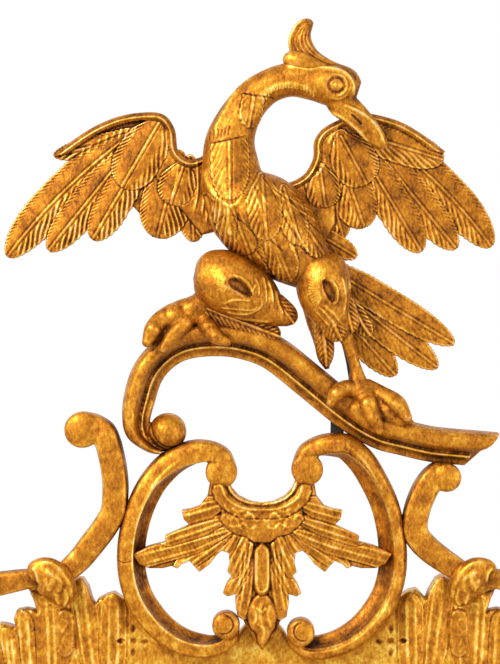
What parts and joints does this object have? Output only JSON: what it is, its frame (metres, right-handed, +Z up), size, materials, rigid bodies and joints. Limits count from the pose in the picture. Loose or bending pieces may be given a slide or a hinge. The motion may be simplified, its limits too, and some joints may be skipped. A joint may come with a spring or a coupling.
{
  "type": "overmantel mirror",
  "caption": "Wide giltwood overmantel mirror with a pierced scroll-and-leaf crest carrying a long-necked bird with spread wings, hung by rings and wall plates.",
  "frame": {"origin": "on the wall plane, in the middle of the frame's foot, at the level of the shelf it may stand on", "axes": "+X to the viewer's right, +Y into the wall, +Z up"},
  "size_m": [1.1298, 0.0976, 1.3928],
  "materials": {
    "gilded_limewood": "water gilding on carved limewood, burnished on the high parts",
    "bare_pine": "planed pine with an old ochre wash",
    "silvered_plate": "polished bevelled glass, silvered behind",
    "brass": "dull old brass",
    "iron": "blackened iron",
    "felt": "green felt"
  },
  "bodies": {
    "mirror": {"top_rail": "bare_pine", "bottom_rail": "bare_pine", "left_stile": "bare_pine", "right_stile": "bare_pine", "mirror_plate": "silvered_plate", "glass_blocks": "bare_pine", "backboards": "bare_pine", "backboard_screws": "iron", "sight_moulding_top": "gilded_limewood", "sight_moulding_bottom": "gilded_limewood", "sight_moulding_left": "gilded_limewood", "sight_moulding_right": "gilded_limewood", "shoulder_scroll_left": "gilded_limewood", "shoulder_scroll_right": "gilded_limewood", "side_scroll_upper_left": "gilded_limewood", "side_scroll_upper_right": "gilded_limewood", "side_scroll_lower_left": "gilded_limewood", "side_scroll_lower_right": "gilded_limewood", "side_leaf_left": "gilded_limewood", "side_leaf_right": "gilded_limewood", "upper_corner_leaf_left": "gilded_limewood", "upper_corner_leaf_right": "gilded_limewood", "lower_corner_leaf_left": "gilded_limewood", "lower_corner_leaf_right": "gilded_limewood", "bottom_scroll_left": "gilded_limewood", "bottom_scroll_right": "gilded_limewood", "bottom_shell": "gilded_limewood", "crest_panel": "gilded_limewood", "crest_battens": "bare_pine", "batten_screws": "iron", "crest_scroll_left": "gilded_limewood", "crest_scroll_right": "gilded_limewood", "outer_scroll_left": "gilded_limewood", "outer_scroll_right": "gilded_limewood", "clasp_leaf_left": "gilded_limewood", "clasp_leaf_right": "gilded_limewood", "cartouche_leaf": "gilded_limewood", "perch_scroll": "gilded_limewood", "bird_body": "gilded_limewood", "bird_plume": "gilded_limewood", "left_wing": "gilded_limewood", "right_wing": "gilded_limewood", "bird_tail": "gilded_limewood", "left_leg": "gilded_limewood", "right_leg": "gilded_limewood", "joint_irons": "iron", "joint_screws": "iron", "bird_stay": "iron", "stay_screws": "iron", "wall_pads": "felt", "hanger_strap_left": "brass", "hanger_strap_right": "brass", "hanger_screws": "brass", "wall_plate_left": "brass", "wall_plate_right": "brass", "wall_plate_screws": "brass"},
    "hanger_left": {"hanger_ring_left": "brass"},
    "hanger_right": {"hanger_ring_right": "brass"}
  },
  "joints": [
    {"name": "hanger_ring_left_turn", "type": "hinge", "parent": "mirror", "child": "hanger_left", "pos_m": [-0.488, -0.004, 0.656], "axis": [1, 0, 0], "range_deg": [0, 175]},
    {"name": "hanger_ring_right_turn", "type": "hinge", "parent": "mirror", "child": "hanger_right", "pos_m": [0.488, -0.004, 0.656], "axis": [1, 0, 0], "range_deg": [0, 175]}
  ]
}
